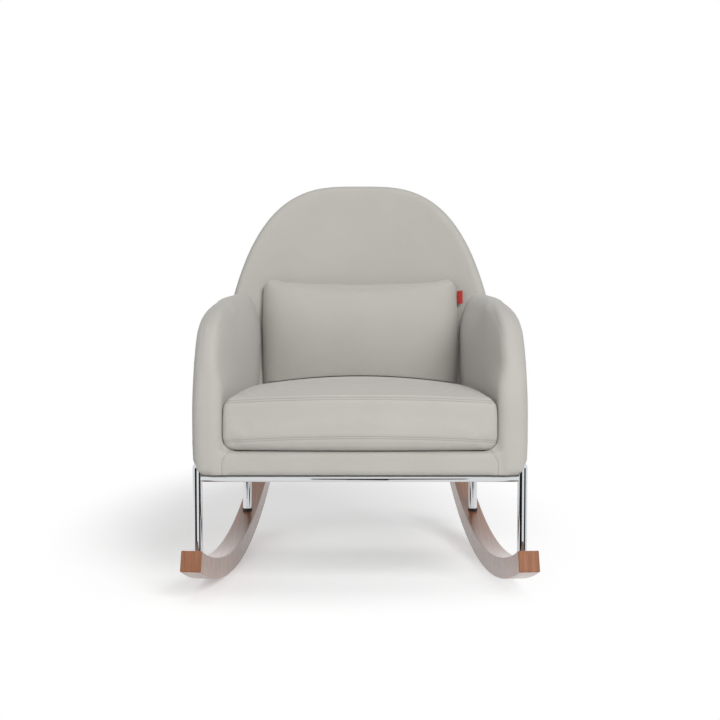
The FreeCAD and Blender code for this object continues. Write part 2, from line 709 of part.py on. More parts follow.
def main():
    os.makedirs("parts", exist_ok=True)
    nodes = {}
    back = make_back_block()
    panel = make_arm_panel(back)
    pairs = {
        "runner": make_runner(),
        "front_leg": make_leg(-LEG_RUN),
        "rear_leg": make_leg(LEG_RUN),
        "side_bar": side_bar(),
        "seat_rail": make_side_rail(),
        "arm_panel": panel,
        "arm_pad": make_arm_pad(panel, back),
    }
    for name, shape in pairs.items():
        nodes[name + "_left"], nodes[name + "_right"] = both(shape)
    for place, run in (("front", -LEG_RUN), ("rear", LEG_RUN)):
        leg = run_point(run)
        nodes[place + "_crossbar"] = bar_between(V(-leg.x, leg.y, 0), leg)

    groups = {
        "leg_bushes": [make_bush(run) for run in leg_runs()],
        "leg_inserts": [make_leg_insert(run) for run in leg_runs()],
        "runner_bolts": [make_runner_bolt(run) for run in leg_runs()],
        "bolt_plugs": [make_bolt_plug(run) for run in leg_runs()],
        "seat_tabs": [make_tab(at) for at in screw_points()],
        "seat_screws": [make_tab_screw(at) for at in screw_points()],
        "arm_bolts": [make_arm_bolt(y) for y in ARM_BOLT_PLACES],
        "corner_blocks": [make_corner_block(inside_box()[0], 1), make_corner_block(inside_box()[1], -1)],
    }
    for name, shapes in groups.items():
        nodes[name] = Part.makeCompound([copy for shape in shapes for copy in both(shape)])

    nodes["seat_rail_front"] = make_end_rail(box_front())
    nodes["seat_rail_rear"] = make_end_rail(inside_box()[1])
    nodes["webbing_lengthwise"] = Part.makeCompound(make_lengthwise_webbing())
    nodes["webbing_crosswise"] = Part.makeCompound(make_crosswise_webbing())
    nodes["deck_pad"] = make_deck_pad()
    nodes["dust_cover"] = make_dust_cover()
    nodes["front_pad"] = make_front_pad()
    nodes["back_cover"] = make_back_cover(back)
    nodes["back_pad"] = make_back_pad(back)
    nodes["back_frame"] = make_back_frame()
    nodes["seat_cushion"] = make_seat_cushion()
    nodes["lumbar_pillow"] = make_lumbar_pillow()
    nodes["pillow_tab"] = make_pillow_tab(nodes["lumbar_pillow"])
    for name, shape in nodes.items():
        shape.exportStep(os.path.join("parts", name + ".step"))


main()
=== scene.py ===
import math

import bpy
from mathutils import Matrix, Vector


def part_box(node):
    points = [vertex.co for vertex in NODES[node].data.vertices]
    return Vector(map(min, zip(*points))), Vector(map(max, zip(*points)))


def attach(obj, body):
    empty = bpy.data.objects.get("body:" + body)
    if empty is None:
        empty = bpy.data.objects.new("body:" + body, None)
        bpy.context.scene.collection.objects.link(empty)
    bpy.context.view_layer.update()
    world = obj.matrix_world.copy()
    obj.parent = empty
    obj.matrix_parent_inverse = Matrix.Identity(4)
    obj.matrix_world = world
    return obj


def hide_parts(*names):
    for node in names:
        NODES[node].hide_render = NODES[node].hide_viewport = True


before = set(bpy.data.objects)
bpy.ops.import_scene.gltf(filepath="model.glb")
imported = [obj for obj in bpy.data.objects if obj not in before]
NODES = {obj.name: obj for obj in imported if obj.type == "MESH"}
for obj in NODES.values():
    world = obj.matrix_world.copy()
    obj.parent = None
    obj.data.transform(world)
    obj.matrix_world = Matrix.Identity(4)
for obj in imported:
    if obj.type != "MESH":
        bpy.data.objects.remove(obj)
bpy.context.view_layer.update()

bl_info = {
    "name": "Upholstered rocking chair",
    "version": (1, 0, 0),
    "blender": (4, 5, 0),
    "location": "View3D > Sidebar > Rocking Chair",
    "description": "Dresses a padded rocking chair with fabric, walnut and chrome, and sets up its studio",
    "category": "Object",
}


# Values that a user would change

class ChairFinish(bpy.types.PropertyGroup):
    """Colours and weave of the chair's finishes."""

    fabric: bpy.props.StringProperty(
        name="Fabric", description="sRGB hex colour of the upholstery", default="BDBAB5"
    )
    fabric_shade: bpy.props.StringProperty(
        name="Fabric shade", description="sRGB hex colour of the darker threads", default="B2AFA9"
    )
    # Seam: the colour of the painted shade drawn as a dark line along each sewn seam's crease
    seam: bpy.props.StringProperty(
        name="Seam", description="sRGB hex colour in the sewn seams", default="7F7B75"
    )
    walnut: bpy.props.StringProperty(
        name="Walnut", description="sRGB hex colour of the runners' light grain", default="A06B4A"
    )
    walnut_dark: bpy.props.StringProperty(
        name="Walnut dark", description="sRGB hex colour of the runners' dark grain", default="7C4E36"
    )
    ribbon: bpy.props.StringProperty(
        name="Ribbon", description="sRGB hex colour of the plain tab on the pillow", default="A8322E"
    )
    thread: bpy.props.FloatProperty(
        name="Thread spacing", description="Distance between the fabric's threads", default=0.0012,
        min=0.0003, max=0.01, unit="LENGTH",
    )


class ChairForm(bpy.types.PropertyGroup):
    """How full the padding is."""

    swell: bpy.props.FloatProperty(
        name="Cushion swell", description="Most that the seat cushion's cover stands out", default=0.003,
        min=0.0, max=0.03, unit="LENGTH",
    )
    pillow_swell: bpy.props.FloatProperty(
        name="Pillow swell", description="Most that the pillow's cover stands out", default=0.010,
        min=0.0, max=0.03, unit="LENGTH",
    )
    seam_depth: bpy.props.FloatProperty(
        name="Seam depth", description="How deep a sewn seam draws the cover in", default=0.0009,
        min=0.0, max=0.005, unit="LENGTH",
    )


class StudioSettings(bpy.types.PropertyGroup):
    """Camera and light."""

    distance: bpy.props.FloatProperty(
        name="Camera distance", description="Distance of the camera from the chair's middle", default=4.382,
        unit="LENGTH",
    )
    height: bpy.props.FloatProperty(
        name="Camera height", description="Height of the camera above the floor", default=0.859, unit="LENGTH"
    )
    tilt: bpy.props.FloatProperty(
        name="Camera tilt", description="How far the camera looks down", default=math.radians(4.75), subtype="ANGLE"
    )
    lens: bpy.props.FloatProperty(
        name="Lens", description="Focal length on a 36 mm sensor, in millimetres", default=94.15
    )


# Frames that the padding takes to fill out
STUFFING_FRAMES = 20

# How upright a face has to be, by its normal's height, for a seam to show on it
STANDING = 0.85


# Small helpers

def linear(hexcode, alpha=1.0):
    """A linear colour from an sRGB hex value."""
    parts = [int(hexcode[i:i + 2], 16) / 255 for i in (0, 2, 4)]
    return [c / 12.92 if c <= 0.04045 else ((c + 0.055) / 1.055) ** 2.4 for c in parts] + [alpha]


def add_node(tree, kind, inputs=None, **settings):
    """Adds a shader node, sets its properties, and sets or links its inputs."""
    made = tree.nodes.new(kind)
    for key, value in settings.items():
        setattr(made, key, value)
    for key, value in (inputs or {}).items():
        if isinstance(value, bpy.types.NodeSocket):
            tree.links.new(value, made.inputs[key])
        else:
            made.inputs[key].default_value = value
    return made


def new_material(name):
    """An empty material with its Principled shader and its object coordinates."""
    material = bpy.data.materials.new(name)
    material.use_nodes = True
    tree = material.node_tree
    tree.nodes.clear()
    shader = add_node(tree, "ShaderNodeBsdfPrincipled")
    add_node(tree, "ShaderNodeOutputMaterial", {"Surface": shader.outputs[0]})
    place = add_node(tree, "ShaderNodeTexCoord").outputs["Object"]
    return material, tree, shader, place


def dress(names, material):
    """Gives CAD nodes a finish."""
    for name in names:
        slots = NODES[name].data.materials
        slots.clear()
        slots.append(material)


def only(obj):
    """Makes one object the selected and active one, in object mode."""
    if bpy.context.object and bpy.context.object.mode != "OBJECT":
        bpy.ops.object.mode_set(mode="OBJECT")
    bpy.ops.object.select_all(action="DESELECT")
    bpy.context.view_layer.objects.active = obj
    obj.select_set(True)


def copy_of(names, piece):
    """A new piece made of the joined, merged meshes of CAD nodes."""
    bpy.ops.object.select_all(action="DESELECT")
    copies = []
    for name in names:
        copy = bpy.data.objects.new(piece, NODES[name].data.copy())
        bpy.context.scene.collection.objects.link(copy)
        copies.append(copy)
    only(copies[0])
    for copy in copies:
        copy.select_set(True)
    if len(copies) > 1:
        bpy.ops.object.join()
    made = copies[0]
    made.name = piece
    made.data.name = piece
    made.data.materials.clear()
    bpy.ops.object.mode_set(mode="EDIT")
    bpy.ops.mesh.select_all(action="SELECT")
    bpy.ops.mesh.remove_doubles(threshold=0.00002)
    bpy.ops.object.mode_set(mode="OBJECT")
    return made


def apply_all(obj):
    """Applies every modifier of a piece in order."""
    only(obj)
    for modifier in list(obj.modifiers):
        bpy.ops.object.modifier_apply(modifier=modifier.name)


def remesh(obj, voxel, smoothing=8):
    """Even quads all over, without the steps that the voxels leave."""
    only(obj)
    obj.data.remesh_voxel_size = voxel
    bpy.ops.object.voxel_remesh()
    keep_outer_skin(obj)
    smooth = obj.modifiers.new("steps", "SMOOTH")
    smooth.factor = 0.5
    smooth.iterations = smoothing
    apply_all(obj)


def keep_outer_skin(obj):
    """Drops the closed hollows inside a remeshed pad, and keeps its outer skin."""
    only(obj)
    bpy.ops.object.mode_set(mode="EDIT")
    bpy.ops.mesh.select_all(action="SELECT")
    bpy.ops.mesh.separate(type="LOOSE")
    bpy.ops.object.mode_set(mode="OBJECT")
    shells = list(bpy.context.selected_objects)
    outer = max(shells, key=lambda shell: shell.dimensions.length)
    obj.data = outer.data
    for shell in shells:
        if shell is not obj:
            bpy.data.objects.remove(shell)
    only(obj)


def inflate(obj, pressure, cap, held=None):
    """Blows up a pad as Cloth and lets no point move further than cap; held(point) pins a point."""
    only(obj)
    rest = [v.co.copy() for v in obj.data.vertices]
    cloth = obj.modifiers.new("stuffing", "CLOTH")
    settings = cloth.settings
    settings.quality = 5
    settings.mass = 0.3
    settings.tension_stiffness = 20
    settings.compression_stiffness = 20
    settings.bending_stiffness = 2.0
    settings.use_pressure = True
    settings.uniform_pressure_force = pressure
    settings.effector_weights.gravity = 0
    cloth.collision_settings.use_collision = False
    if held is not None:
        group = obj.vertex_groups.new(name="held")
        group.add([i for i, co in enumerate(rest) if held(co)], 1.0, "REPLACE")
        settings.vertex_group_mass = "held"
    cloth.point_cache.frame_start = 1
    cloth.point_cache.frame_end = STUFFING_FRAMES
    scene = bpy.context.scene
    for step in range(1, STUFFING_FRAMES + 1):
        scene.frame_set(step)
    blown = obj.evaluated_get(bpy.context.evaluated_depsgraph_get()).to_mesh()
    moved = [v.co.copy() for v in blown.vertices]
    obj.evaluated_get(bpy.context.evaluated_depsgraph_get()).to_mesh_clear()
    obj.modifiers.remove(cloth)
    scene.frame_set(1)
    for vertex, start, end in zip(obj.data.vertices, rest, moved):
        step = end - start
        if step.length > cap:
            step = step.normalized() * cap
        vertex.co = start + step
    obj.vertex_groups.clear()


def finish_pad(obj, smoothing=4):
    """Settles the cover of a pad, and gives it one more level of detail."""
    only(obj)
    smooth = obj.modifiers.new("settle", "SMOOTH")
    smooth.factor = 0.5
    smooth.iterations = smoothing
    detail = obj.modifiers.new("detail", "SUBSURF")
    detail.levels = 1
    detail.render_levels = 1
    apply_all(obj)
    bpy.ops.object.shade_smooth()


def crease(obj, depth, width, off_seam):
    """Draws the cover in along a seam: off_seam(point) is a point's distance from it, or None."""
    normals = [v.normal.copy() for v in obj.data.vertices]
    for vertex, normal in zip(obj.data.vertices, normals):
        off = off_seam(vertex.co)
        if off is not None and abs(off) < width and abs(normal.z) < STANDING:
            vertex.co -= normal * depth * 0.5 * (1 + math.cos(math.pi * off / width))


def place_piece(obj, body, slot, material, *nodes):
    """Puts a finished piece on its body, in place of its CAD nodes."""
    obj.data.materials.clear()
    obj.data.materials.append(material)
    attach(obj, body)
    if nodes:
        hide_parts(*nodes)


# The seam that runs from the seat's inner corner down the front: its foot, bow, levels and rear limit
SEAM_FOOT = 0.3004
SEAM_BOW = 0.018
SEAM_TURN = 0.292
SEAM_TOP = 0.325
SEAM_REAR = -0.312

# How far to each side a seam draws the cover in, and the distance from the middle at which a cushion seam's
# fall is given
SEAM_WIDTH = 0.005
SEAM_SPAN = 0.3

# The body's front, and the arms' faces: half widths, toe-in, and the sweep of their fronts
BODY_FRONT = -0.327
ARM_INNER_HALF = 0.301
ARM_INNER_TOE_IN = math.radians(7.2)
ARM_OUTER_HALF = 0.3266
ARM_OUTER_TOE_IN = math.radians(6.61)
ARM_SWEEP = 0.30
ARM_SWEEP_LEVELS = (0.40, 0.66)
SIDE_GAP = 0.0008

# The seat cushion's top: height, place and curve of its ridge along the middle and along its sides
RIDGE = (0.4595, -0.11, 0.2416)
SIDE_RIDGE = (0.4385, -0.2, 0.122)

# The back's padded face: its place at deck level, its lean and its hollow curve
BACK_BASE = 0.167
DECK_LEVEL = 0.321
BACK_LEAN = math.radians(11.4)
BACK_RADIUS = 0.7


def front_seam(point):
    """Distance of a point on the front from the seam between an arm and the front rail."""
    if point.y > SEAM_REAR or point.z > SEAM_TOP:
        return None
    up = share(point.z, SEAM_TURN, SEAM_TOP)
    return abs(point.x) - SEAM_FOOT + SEAM_BOW * up * up


def arm_face(y):
    """Half of the clear width between the arms at a distance y from the middle."""
    return ARM_INNER_HALF - (y - BODY_FRONT) * math.tan(ARM_INNER_TOE_IN)


def arm_outer(y):
    """Distance of an arm's outer face from the middle, at a distance y from the middle."""
    return ARM_OUTER_HALF - y * math.tan(ARM_OUTER_TOE_IN)


def arm_front(z):
    """Distance of an arm's front from the middle, at a height: it stands upright, then sweeps back."""
    return BODY_FRONT + ARM_SWEEP * share(z, *ARM_SWEEP_LEVELS) ** 4


def seat_top(x, y):
    """Height of the seat cushion's top panel: domed between its seams, and lower at the back."""
    across = min(abs(x) / arm_face(y), 1.0)
    middle, side = (height - curve * (y - place) ** 2 for height, place, curve in (RIDGE, SIDE_RIDGE))
    return middle - (middle - side) * across * across


def share(value, low, high):
    """How far a value is from low to high, from 0 to 1."""
    return min(max((value - low) / (high - low), 0.0), 1.0)


def eased(part):
    """A share with a soft start and end."""
    return part * part * (3 - 2 * part)


def back_face(x, z):
    """Distance of the back's padded face from the middle, at a height."""
    hollow = BACK_RADIUS - math.sqrt(BACK_RADIUS ** 2 - x * x)
    return BACK_BASE + (z - DECK_LEVEL) * math.tan(BACK_LEAN) - hollow / math.cos(BACK_LEAN)


# Finishes

def upholstery_cloth(name, seam_heights=(), corner_seam=False):
    """Plain-woven grey upholstery cloth: a fine even weave with a soft bloom of fibres, so no gloss.

    The weave is drawn at a few threads' width, because single threads are too fine to show. Dark lines of painted
    shade are drawn along the given seams, for the shade in their creases.
    """
    finish = bpy.context.scene.chair_finish
    material, tree, shader, place = new_material(name)
    cross = 1.0 / (finish.thread * 2)
    parts = add_node(tree, "ShaderNodeSeparateXYZ", {"Vector": place})
    weft = add_node(tree, "ShaderNodeTexWave", {"Vector": place, "Scale": cross / 6.283 * 2, "Distortion": 1.5,
                    "Detail": 1.0, "Detail Scale": 2.0}, wave_type="BANDS", bands_direction="Z")
    warp = add_node(tree, "ShaderNodeTexWave", {"Vector": place, "Scale": cross / 6.283 * 2, "Distortion": 1.5,
                    "Detail": 1.0, "Detail Scale": 2.0}, wave_type="BANDS", bands_direction="DIAGONAL")
    weave = add_node(tree, "ShaderNodeMath", {0: weft.outputs["Fac"], 1: warp.outputs["Fac"]}, operation="MULTIPLY")
    slub = add_node(tree, "ShaderNodeTexNoise", {"Vector": place, "Scale": 420.0, "Detail": 3.0, "Roughness": 0.7})
    cloud = add_node(tree, "ShaderNodeTexNoise", {"Vector": place, "Scale": 9.0, "Detail": 3.0, "Roughness": 0.5})
    mix = add_node(tree, "ShaderNodeMath", {0: weave.outputs[0], 1: slub.outputs["Fac"]}, operation="ADD")
    mix = add_node(tree, "ShaderNodeMath", {0: mix.outputs[0], 1: cloud.outputs["Fac"]}, operation="ADD")
    tone = add_node(tree, "ShaderNodeMapRange", {"Value": mix.outputs[0], "From Min": 0.6, "From Max": 2.0})
    colour = add_node(tree, "ShaderNodeMix", {"Factor": tone.outputs[0], "A": linear(finish.fabric_shade),
                      "B": linear(finish.fabric)}, data_type="RGBA")
    height = add_node(tree, "ShaderNodeMath", {0: weave.outputs[0], 1: slub.outputs["Fac"]}, operation="ADD")
    height = height.outputs[0]
    colour = colour.outputs["Result"]
    offs = []
    for level, fall in seam_heights:
        x2 = add_node(tree, "ShaderNodeMath", {0: parts.outputs["X"], 1: parts.outputs["X"]}, operation="MULTIPLY")
        line = add_node(tree, "ShaderNodeMath", {0: x2.outputs[0], 1: fall / SEAM_SPAN ** 2, 2: -level},
                        operation="MULTIPLY_ADD")
        off = add_node(tree, "ShaderNodeMath", {0: line.outputs[0], 1: parts.outputs["Z"]}, operation="ADD")
        off = add_node(tree, "ShaderNodeMath", {0: off.outputs[0]}, operation="ABSOLUTE")
        normal = add_node(tree, "ShaderNodeTexCoord").outputs["Normal"]
        facing = add_node(tree, "ShaderNodeSeparateXYZ", {"Vector": normal})
        tilt = add_node(tree, "ShaderNodeMath", {0: facing.outputs["Z"]}, operation="ABSOLUTE")
        lying = add_node(tree, "ShaderNodeMapRange", {"Value": tilt.outputs[0], "From Min": 0.8, "From Max": 0.9})
        off = add_node(tree, "ShaderNodeMath", {0: off.outputs[0], 1: lying.outputs[0]}, operation="ADD")
        offs.append(off.outputs[0])
    if corner_seam:
        across = add_node(tree, "ShaderNodeMath", {0: parts.outputs["X"]}, operation="ABSOLUTE")
        up = add_node(tree, "ShaderNodeMapRange", {"Value": parts.outputs["Z"], "From Min": SEAM_TURN,
                      "From Max": SEAM_TOP})
        bow = add_node(tree, "ShaderNodeMath", {0: up.outputs[0], 1: 2.0}, operation="POWER")
        line = add_node(tree, "ShaderNodeMath", {0: bow.outputs[0], 1: SEAM_BOW, 2: -SEAM_FOOT},
                        operation="MULTIPLY_ADD")
        off = add_node(tree, "ShaderNodeMath", {0: across.outputs[0], 1: line.outputs[0]}, operation="ADD")
        off = add_node(tree, "ShaderNodeMath", {0: off.outputs[0]}, operation="ABSOLUTE")
        back = add_node(tree, "ShaderNodeMapRange", {"Value": parts.outputs["Y"], "From Min": SEAM_REAR,
                        "From Max": SEAM_REAR + 0.007})
        high = add_node(tree, "ShaderNodeMapRange", {"Value": parts.outputs["Z"], "From Min": SEAM_TOP,
                        "From Max": SEAM_TOP + 0.002})
        away = add_node(tree, "ShaderNodeMath", {0: back.outputs[0], 1: high.outputs[0]}, operation="ADD")
        off = add_node(tree, "ShaderNodeMath", {0: off.outputs[0], 1: away.outputs[0]}, operation="ADD")
        offs.append(off.outputs[0])
    # Painted shade: the cover darkens towards the seam colour along each seam line, for the shade in its crease
    for off in offs:
        seam_shade = add_node(tree, "ShaderNodeMapRange", {"Value": off, "From Min": 0.0004, "From Max": 0.0016,
                        "To Min": 0.4, "To Max": 0.0})
        colour = add_node(tree, "ShaderNodeMix", {"Factor": seam_shade.outputs[0], "A": colour,
                          "B": linear(finish.seam)}, data_type="RGBA").outputs["Result"]
    bump = add_node(tree, "ShaderNodeBump", {"Height": height, "Strength": 0.35, "Distance": 0.0004})
    tree.links.new(colour, shader.inputs["Base Color"])
    tree.links.new(bump.outputs[0], shader.inputs["Normal"])
    shader.inputs["Roughness"].default_value = 0.85
    shader.inputs["Sheen Weight"].default_value = 0.25
    shader.inputs["Sheen Roughness"].default_value = 0.5
    shader.inputs["Specular IOR Level"].default_value = 0.2
    return material


def oiled_walnut():
    """Oiled walnut under satin lacquer: long brown grain with darker streaks and fine pores along the run."""
    finish = bpy.context.scene.chair_finish
    material, tree, shader, place = new_material("oiled_walnut")
    grain_place = add_node(tree, "ShaderNodeMapping", {"Vector": place, "Scale": (160.0, 3.0, 8.0)})
    streak = add_node(tree, "ShaderNodeTexNoise", {"Vector": grain_place.outputs[0], "Scale": 1.0, "Detail": 5.0,
                      "Roughness": 0.6, "Distortion": 0.6})
    pores_place = add_node(tree, "ShaderNodeMapping", {"Vector": place, "Scale": (1100.0, 25.0, 60.0)})
    pores = add_node(tree, "ShaderNodeTexNoise", {"Vector": pores_place.outputs[0], "Scale": 1.0, "Detail": 2.0})
    both = add_node(tree, "ShaderNodeMath", {0: pores.outputs["Fac"], 1: 0.35, 2: streak.outputs["Fac"]},
                    operation="MULTIPLY_ADD")
    tone = add_node(tree, "ShaderNodeMapRange", {"Value": both.outputs[0], "From Min": 0.45, "From Max": 0.9})
    colour = add_node(tree, "ShaderNodeMix", {"Factor": tone.outputs[0], "A": linear(finish.walnut_dark),
                      "B": linear(finish.walnut)}, data_type="RGBA")
    bump = add_node(tree, "ShaderNodeBump", {"Height": pores.outputs["Fac"], "Strength": 0.15, "Distance": 0.0003})
    tree.links.new(colour.outputs["Result"], shader.inputs["Base Color"])
    tree.links.new(bump.outputs[0], shader.inputs["Normal"])
    shader.inputs["Roughness"].default_value = 0.4
    shader.inputs["Coat Weight"].default_value = 1.0
    shader.inputs["Coat Roughness"].default_value = 0.2
    shader.inputs["Coat IOR"].default_value = 1.4
    shader.inputs["Specular IOR Level"].default_value = 0.2
    return material


def chromed_steel():
    """Chromed steel tube: a mirror with a faint blue cast and hairline polishing marks round the tube."""
    material, tree, shader, place = new_material("chromed_steel")
    marks = add_node(tree, "ShaderNodeTexNoise", {"Vector": place, "Scale": 60.0, "Detail": 4.0, "Roughness": 0.7})
    rough = add_node(tree, "ShaderNodeMapRange", {"Value": marks.outputs["Fac"], "From Min": 0.3, "From Max": 0.7,
                     "To Min": 0.04, "To Max": 0.09})
    tree.links.new(rough.outputs[0], shader.inputs["Roughness"])
    shader.inputs["Base Color"].default_value = linear("D4D6D8")
    shader.inputs["Metallic"].default_value = 1.0
    return material


def plain_finish(name, dark, light, scale, roughness, metallic=0.0):
    """A finish with a mottled colour between two tones, at a grain of scale per metre."""
    material, tree, shader, place = new_material(name)
    mottle = add_node(tree, "ShaderNodeTexNoise", {"Vector": place, "Scale": scale, "Detail": 4.0, "Roughness": 0.6})
    colour = add_node(tree, "ShaderNodeMix", {"Factor": mottle.outputs["Fac"], "A": linear(dark),
                      "B": linear(light)}, data_type="RGBA")
    bump = add_node(tree, "ShaderNodeBump", {"Height": mottle.outputs["Fac"], "Strength": 0.2, "Distance": 0.0003})
    tree.links.new(colour.outputs["Result"], shader.inputs["Base Color"])
    tree.links.new(bump.outputs[0], shader.inputs["Normal"])
    shader.inputs["Roughness"].default_value = roughness
    shader.inputs["Metallic"].default_value = metallic
    return material


# Operators, one for each group of pieces

class CHAIR_OT_runners(bpy.types.Operator):
    """Finish the runners and their plugs in walnut"""

    bl_idname = "chair.runners"
    bl_label = "Runners"

    def execute(self, context):
        dress(["runner_left", "runner_right", "bolt_plugs"], oiled_walnut())
        return {"FINISHED"}


class CHAIR_OT_tube_base(bpy.types.Operator):
    """Finish the legs, bars and tabs in chrome, and their fittings"""

    bl_idname = "chair.tube_base"
    bl_label = "Tube base"

    def execute(self, context):
        tubes = [name for name in NODES if name.endswith("crossbar") or "_leg_" in name or "side_bar" in name]
        dress(tubes + ["seat_tabs"], chromed_steel())
        dress(["leg_bushes"], plain_finish("moulded_nylon", "0A0A0A", "161616", 900.0, 0.45))
        steel = plain_finish("zinc_plated_steel", "8C8F93", "B4B6B8", 300.0, 0.32, 1.0)
        dress(["leg_inserts", "runner_bolts", "seat_screws", "arm_bolts"], steel)
        return {"FINISHED"}


class CHAIR_OT_timber(bpy.types.Operator):
    """Finish the seat box, the arm panels and the back hoop in timber"""

    bl_idname = "chair.timber"
    bl_label = "Timber frame"

    def execute(self, context):
        dress(["seat_rail_left", "seat_rail_right", "seat_rail_front", "seat_rail_rear", "corner_blocks"],
              plain_finish("sawn_beech", "B98E62", "D2AC80", 60.0, 0.7))
        dress(["arm_panel_left", "arm_panel_right", "back_frame"],
              plain_finish("birch_plywood", "C7A477", "DDC096", 45.0, 0.65))
        return {"FINISHED"}


class CHAIR_OT_deck(bpy.types.Operator):
    """Make the deck pad, the straps under it and the dust cover"""

    bl_idname = "chair.deck"
    bl_label = "Deck"

    def execute(self, context):
        deck = copy_of(["deck_pad"], "deck_felt")
        remesh(deck, 0.003)
        finish_pad(deck, 2)
        place_piece(deck, "chair", "felt", plain_finish("needled_felt", "6E6C68", "8B8984", 500.0, 0.95), "deck_pad")
        webbing = plain_finish("woven_webbing", "121212", "262626", 700.0, 0.8)
        for name, node in (("straps_lengthwise", "webbing_lengthwise"), ("straps_crosswise", "webbing_crosswise")):
            straps = copy_of([node], name)
            only(straps)
            bevel = straps.modifiers.new("edge", "BEVEL")
            bevel.width = 0.0004
            bevel.segments = 2
            apply_all(straps)
            place_piece(straps, "chair", "black_webbing", webbing, node)
        cover = copy_of(["dust_cover"], "dust_cloth")
        apply_all(cover)
        place_piece(cover, "chair", "black_cambric", plain_finish("cambric", "0B0B0B", "1C1C1C", 1200.0, 0.95),
                    "dust_cover")
        return {"FINISHED"}


class CHAIR_OT_shell(bpy.types.Operator):
    """Upholster the arms, the front rail and the back"""

    bl_idname = "chair.shell"
    bl_label = "Upholstered shell"

    # Roll of the arms' inner edges: how far it draws them out, and where it starts and ends
    REAR_ROLL = 0.035
    REAR_ROLL_LEVELS = (0.53, 0.645)
    REAR_ROLL_RUN = (-0.25, 0.05)
    FRONT_ROLL = 0.015
    FRONT_ROLL_LEVELS = (0.45, 0.52)
    FRONT_ROLL_RUN = (0.0, 0.22)
    # How much slimmer the arms are at their foot and above it, the rounding of their shoulders, and their sole
    SLIM_FOOT = 0.0025
    SLIM_MORE = 0.002
    SLIM_LEVELS = (0.28, 0.34)
    SLIM_RUN = (-0.2, 0.05)
    SHOULDER_DROP = 0.006
    SHOULDER_LEVELS = (0.56, 0.64)
    INNER_REACH = 0.02
    SOLE = 0.2702
    SOLE_REACH = 0.2725
    # The hollow round of the inner corner: its block, the round's middle and radius, and the block that roots it
    CORNER_PLACE = (0.290, -0.301, 0.332)
    CORNER_SIZE = (0.034, 0.030, 0.034)
    ROUND_PLACE = (0.2680, -0.301, 0.3523)
    ROUND_RADIUS = 0.0315
    ROOT_PLACE = (0.307, -0.306, 0.2965)
    ROOT_SIZE = (0.034, 0.040, 0.051)

    def execute(self, context):
        cloth = upholstery_cloth("grey_upholstery_cloth", corner_seam=True)
        arms = copy_of(["arm_pad_left", "arm_panel_left", "arm_pad_right", "arm_panel_right", "front_pad",
                        "seat_rail_left", "seat_rail_right", "seat_rail_front"], "arms_and_front")
        for side in (-1, 1):
            self.add_corner(arms, side)
        remesh(arms, 0.005, 5)
        finish_pad(arms, 2)
        self.shape_arms(arms)
        crease(arms, context.scene.chair_form.seam_depth, SEAM_WIDTH, front_seam)
        place_piece(arms, "chair", "grey_upholstery", cloth, "arm_pad_left", "arm_pad_right", "front_pad")
        back = copy_of(["back_cover", "back_pad"], "back_upholstery")
        remesh(back, 0.007)
        finish_pad(back)
        place_piece(back, "chair", "grey_upholstery", cloth, "back_cover", "back_pad")
        return {"FINISHED"}

    def shape_arms(self, arms):
        """Rolls the arms' inner edges over at the front and the back, and sets the shell flat on the base."""
        for vertex in arms.data.vertices:
            x, y, z = vertex.co
            inner = arm_face(y)
            across = share(abs(x), inner, arm_outer(y))
            up = share(z, *self.REAR_ROLL_LEVELS)
            rear_roll = self.REAR_ROLL * up * up * eased(share(y, *self.REAR_ROLL_RUN))
            behind = share(y - arm_front(z), *self.FRONT_ROLL_RUN)
            front_roll = self.FRONT_ROLL * (1 - behind) ** 2 * eased(share(z, *self.FRONT_ROLL_LEVELS))
            slim = (self.SLIM_FOOT + self.SLIM_MORE * share(z, *self.SLIM_LEVELS)) * across
            slim *= 1 - eased(share(y, *self.SLIM_RUN))
            if abs(x) > inner - self.INNER_REACH:
                vertex.co.x += math.copysign(max(rear_roll, front_roll) * (1 - across) - slim, x)
            vertex.co.z -= self.SHOULDER_DROP * eased(share(z, *self.SHOULDER_LEVELS)) * across
            if z < self.SOLE_REACH:
                vertex.co.z = self.SOLE

    def block(self, side, place, size):
        """A plain block at a place of the left side, or mirrored to the right side."""
        bpy.ops.object.select_all(action="DESELECT")
        bpy.ops.mesh.primitive_cube_add(size=1.0, location=(side * place[0], place[1], place[2]), scale=size)
        bpy.ops.object.transform_apply(location=True, rotation=True, scale=True)
        return bpy.context.object

    def add_corner(self, arms, side):
        """Fills the inner corner between an arm and the front rail with a hollow round, and joins it to them."""
        corner = self.block(side, self.CORNER_PLACE, self.CORNER_SIZE)
        across, along, up = self.ROUND_PLACE
        bpy.ops.object.select_all(action="DESELECT")
        bpy.ops.mesh.primitive_cylinder_add(vertices=64, radius=self.ROUND_RADIUS, depth=0.1,
                                            location=(side * across, along, up), rotation=(math.pi / 2, 0, 0))
        round_tool = bpy.context.object
        hollow = corner.modifiers.new("hollow", "BOOLEAN")
        hollow.operation = "DIFFERENCE"
        hollow.object = round_tool
        apply_all(corner)
        bpy.data.objects.remove(round_tool)
        root = self.block(side, self.ROOT_PLACE, self.ROOT_SIZE)
        only(arms)
        corner.select_set(True)
        root.select_set(True)
        bpy.ops.object.join()


